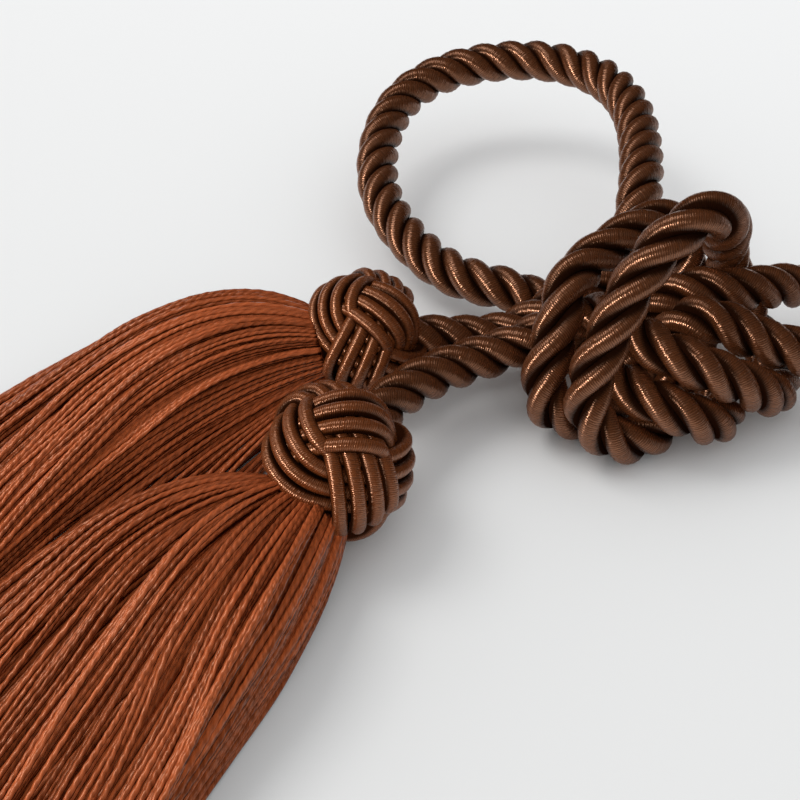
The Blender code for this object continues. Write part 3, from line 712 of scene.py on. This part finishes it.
def new_material(name):
    """A material with its node tree and its Principled shader."""
    made = bpy.data.materials.new(name)
    made.use_nodes = True
    tree = made.node_tree
    return made, tree, tree.nodes["Principled BSDF"]


def math_node(tree, operation, *values):
    """A Math node with its inputs given as sockets or numbers."""
    node = tree.nodes.new("ShaderNodeMath")
    node.operation = operation
    for socket, value in zip(node.inputs, values):
        if isinstance(value, (int, float)):
            socket.default_value = value
        else:
            tree.links.new(value, socket)
    return node.outputs[0]


def smooth_step(tree, value, low, high, least=0.0, most=1.0):
    """A smooth rise from the least to the most while the value goes from low to high."""
    node = tree.nodes.new("ShaderNodeMapRange")
    node.interpolation_type = "SMOOTHSTEP"
    tree.links.new(value, node.inputs["Value"])
    for name, number in (("From Min", low), ("From Max", high), ("To Min", least), ("To Max", most)):
        node.inputs[name].default_value = number
    return node.outputs[0]


def colour_mix(tree, share, dark, light):
    """A colour between two, which are given as colours or sockets."""
    node = tree.nodes.new("ShaderNodeMix")
    node.data_type = "RGBA"
    tree.links.new(share, node.inputs[0])
    for socket, colour in ((node.inputs[MIX_DARK], dark), (node.inputs[MIX_LIGHT], light)):
        if isinstance(colour, tuple):
            socket.default_value = (*colour, 1.0)
        else:
            tree.links.new(colour, socket)
    return node.outputs[MIX_RESULT]


def strand_place(tree):
    """The length along a strand in millimetres and the turn round it, from the UV map."""
    where = tree.nodes.new("ShaderNodeUVMap")
    where.uv_map = "strand"
    split = tree.nodes.new("ShaderNodeSeparateXYZ")
    tree.links.new(where.outputs[0], split.inputs[0])
    return split.outputs[0], split.outputs[1]


def noise(tree, place, scale, detail):
    """The value of a noise texture at a place."""
    node = tree.nodes.new("ShaderNodeTexNoise")
    node.inputs["Scale"].default_value = scale
    node.inputs["Detail"].default_value = detail
    tree.links.new(place, node.inputs["Vector"])
    return node.outputs[0]


def raise_surface(tree, shader, height, strength, distance):
    """Bump the shader's surface by a height."""
    bump = tree.nodes.new("ShaderNodeBump")
    bump.inputs["Strength"].default_value = strength
    bump.inputs["Distance"].default_value = distance
    tree.links.new(height, bump.inputs["Height"])
    tree.links.new(bump.outputs[0], shader.inputs["Normal"])


def wound_yarn(name, dark, light):
    """Cord wound with fine satin thread: ridges across it, uneven from thread to thread, with painted shade
    between the threads and in the grooves between strands and cords.
    """
    made, tree, shader = new_material(name)
    length, turn = strand_place(tree)
    angle = math_node(tree, "MULTIPLY", turn, math.tau)
    outward = math_node(tree, "COSINE", angle)
    threads = math_node(tree, "MULTIPLY", length, 1.0 / THREAD)
    round_place = tree.nodes.new("ShaderNodeCombineXYZ")
    tree.links.new(threads, round_place.inputs[0])
    tree.links.new(outward, round_place.inputs[1])
    tree.links.new(math_node(tree, "SINE", angle), round_place.inputs[2])
    uneven = noise(tree, round_place.outputs[0], THREAD_NOISE, THREAD_DETAIL)
    wound = math_node(tree, "ADD", threads, math_node(tree, "MULTIPLY", turn, WOUND_TOGETHER))
    wound = math_node(tree, "ADD", wound, math_node(tree, "MULTIPLY", uneven, SHIFTED))
    ridge = math_node(tree, "SINE", math_node(tree, "MULTIPLY", wound, math.tau))
    height = math_node(tree, "ADD", math_node(tree, "MULTIPLY", ridge, RIDGE_HEIGHT),
                       math_node(tree, "MULTIPLY", uneven, UNEVEN_HEIGHT))
    raise_surface(tree, shader, height, THREAD_BUMP, THREAD_DEPTH)
    # painted shade: sides turned into the grooves between strands and cords darken toward near black and
    # shine less
    unshaded_side = smooth_step(tree, outward, *THREAD_SHADE_RANGE)
    # painted shade in the valleys between thread turns, added to the thread's uneven tone
    share = math_node(tree, "ADD", math_node(tree, "MULTIPLY", ridge, RIDGE_SHADE), uneven)
    tone = colour_mix(tree, share, dark, light)
    tone = colour_mix(tree, smooth_step(tree, unshaded_side, 0.0, 1.0, THREAD_KEPT_IN_SHADE), PAINTED_SHADE, tone)
    tree.links.new(tone, shader.inputs["Base Color"])
    shine = math_node(tree, "MULTIPLY", unshaded_side, smooth_step(tree, ridge, *RIDGE_SHINE))
    tree.links.new(math_node(tree, "MULTIPLY", shine, SATIN), shader.inputs["Specular IOR Level"])
    tree.links.new(smooth_step(tree, uneven, *THREAD_ROUGHNESS), shader.inputs["Roughness"])
    shader.inputs["IOR"].default_value = YARN_IOR
    shader.inputs["Specular Tint"].default_value = (*THREAD_TINT, 1.0)
    shader.inputs["Anisotropic"].default_value = ANISOTROPY
    tangent = tree.nodes.new("ShaderNodeTangent")
    tangent.direction_type = "UV_MAP"
    tangent.uv_map = "strand"
    tree.links.new(tangent.outputs[0], shader.inputs["Tangent"])
    return made


def loose_yarn(name, dark, light):
    """Silky two-ply yarn: slanting plies, long streaks, and lighter and darker strands, with painted shade
    between the plies and on sides that face down into the pile.
    """
    made, tree, shader = new_material(name)
    length, turn = strand_place(tree)
    angle = math_node(tree, "MULTIPLY", turn, math.tau)
    round_place = tree.nodes.new("ShaderNodeCombineXYZ")
    tree.links.new(math_node(tree, "MULTIPLY", length, STREAKS), round_place.inputs[0])
    tree.links.new(math_node(tree, "COSINE", angle), round_place.inputs[1])
    tree.links.new(math_node(tree, "SINE", angle), round_place.inputs[2])
    streaks = noise(tree, round_place.outputs[0], STREAK_NOISE, STREAK_DETAIL)
    ply = math_node(tree, "COSINE", math_node(tree, "MULTIPLY", turn, PLIES * math.tau))
    height = math_node(tree, "ADD", math_node(tree, "MULTIPLY", ply, PLY_HEIGHT), streaks)
    raise_surface(tree, shader, height, SILK_BUMP, SILK_DEPTH)
    strand = tree.nodes.new("ShaderNodeTexWhiteNoise")
    strand.noise_dimensions = "1D"
    number = math_node(tree, "FLOOR", math_node(tree, "MULTIPLY", length, 1.0 / NEXT_STRAND))
    tree.links.new(number, strand.inputs["W"])
    share = math_node(tree, "ADD", math_node(tree, "MULTIPLY", strand.outputs[0], STRAND_TONE),
                      math_node(tree, "MULTIPLY", streaks, STREAK_TONE))
    # painted shade: the groove between the plies darker than their crests
    share = math_node(tree, "ADD", share, math_node(tree, "MULTIPLY", ply, PLY_SHADE))
    # painted shade: sides of the skirt strands that face down and to the side darken toward near black and
    # shine less
    upright = tree.nodes.new("ShaderNodeSeparateXYZ")
    facing = tree.nodes.new("ShaderNodeNewGeometry")
    tree.links.new(facing.outputs["Normal"], upright.inputs[0])
    unshaded_side = smooth_step(tree, upright.outputs[2], *SILK_SHADE_RANGE)
    tone = colour_mix(tree, smooth_step(tree, unshaded_side, 0.0, 1.0, SILK_KEPT_IN_SHADE), PAINTED_SHADE,
                      colour_mix(tree, share, dark, light))
    tree.links.new(tone, shader.inputs["Base Color"])
    shine = math_node(tree, "MULTIPLY", unshaded_side, smooth_step(tree, streaks, *STREAK_SHINE))
    tree.links.new(math_node(tree, "MULTIPLY", shine, SILK), shader.inputs["Specular IOR Level"])
    shader.inputs["IOR"].default_value = YARN_IOR
    shader.inputs["Roughness"].default_value = SILK_ROUGHNESS
    shader.inputs["Specular Tint"].default_value = (*SILK_TINT, 1.0)
    return made


def paper_floor(name):
    """The pale, smooth surface that the tieback lies on, with painted light that makes it a little brighter
    at the back on the right.
    """
    made, tree, shader = new_material(name)
    place = tree.nodes.new("ShaderNodeTexCoord")
    split = tree.nodes.new("ShaderNodeSeparateXYZ")
    tree.links.new(place.outputs["Object"], split.inputs[0])
    # painted light: the floor's colour brightens toward the right and the back
    across = math_node(tree, "MULTIPLY", split.outputs[0], FLOOR_SLANT)
    brighter = smooth_step(tree, math_node(tree, "ADD", across, split.outputs[1]), *FLOOR_PAINTED_LIGHT)
    tree.links.new(colour_mix(tree, brighter, *FLOOR_PAINTED_TONES), shader.inputs["Base Color"])
    shader.inputs["Roughness"].default_value = FLOOR_ROUGHNESS
    shader.inputs["Specular IOR Level"].default_value = FLOOR_SHINE
    return made


# ---------------------------------------------------------------- setting


def make_floor():
    """A wide level floor."""
    mesh = bpy.data.meshes.new("floor")
    half = FLOOR_HALF
    mesh.from_pydata([(-half, -half, 0.0), (half, -half, 0.0), (half, half, 0.0), (-half, half, 0.0)], [],
                     [(0, 1, 2, 3)])
    mesh.materials.append(paper_floor("floor_paper"))
    made = bpy.data.objects.new("floor", mesh)
    bpy.context.scene.collection.objects.link(made)


def area_light(name, place, size, power, colour):
    """A square softbox that faces the middle of the tieback."""
    lamp = bpy.data.lights.new(name, "AREA")
    lamp.size = size
    lamp.energy = power
    lamp.color = colour
    made = bpy.data.objects.new(name, lamp)
    bpy.context.scene.collection.objects.link(made)
    made.location = place
    made.rotation_euler = (-Vector(place)).to_track_quat("-Z", "Y").to_euler()
    return made


def light_only_yarn(lamp):
    """Let a lamp light the tieback alone and cast no shadow, as a lamp for highlights does."""
    yarn = bpy.data.collections.new("lit_yarn")
    for piece in bpy.data.objects:
        if piece.type == "MESH" and piece.name != "floor":
            yarn.objects.link(piece)
    lamp.light_linking.receiver_collection = yarn
    lamp.data.use_shadow = False


def make_room(name):
    """A white room, brighter overhead than at the horizon. Surfaces mirror the lamps and not the room."""
    world = bpy.data.worlds.new(name)
    bpy.context.scene.world = world
    world.use_nodes = True
    tree = world.node_tree
    back = tree.nodes["Background"]
    back.inputs["Color"].default_value = (*ROOM_COLOUR, 1.0)
    place = tree.nodes.new("ShaderNodeTexCoord")
    split = tree.nodes.new("ShaderNodeSeparateXYZ")
    tree.links.new(place.outputs["Generated"], split.inputs[0])
    overhead = math_node(tree, "MAXIMUM", split.outputs[2], 0.0)
    brightness = math_node(tree, "ADD", math_node(tree, "MULTIPLY", overhead, OVERHEAD_MORE), HORIZON)
    tree.links.new(brightness, back.inputs["Strength"])
    world.cycles_visibility.glossy = False


def make_lights():
    """A softbox above on the left and a low one at the front left that draws the highlights."""
    area_light("overhead", **OVERHEAD)
    light_only_yarn(area_light("window", **WINDOW))
    make_room("room")
    bpy.context.scene.view_settings.view_transform = "Standard"


make_camera()
make_rope(wound_yarn("rope_satin", *ROPE_TONES))
for side in BALLS:
    make_head(side, wound_yarn("head_satin_" + side, *HEAD_TONES))
    make_core(side, wound_yarn("head_core_shade_" + side, *CORE_SHADE_TONES))
    make_skirt(side, loose_yarn("skirt_silk_" + side, *SKIRT_TONES))
make_floor()
make_lights()
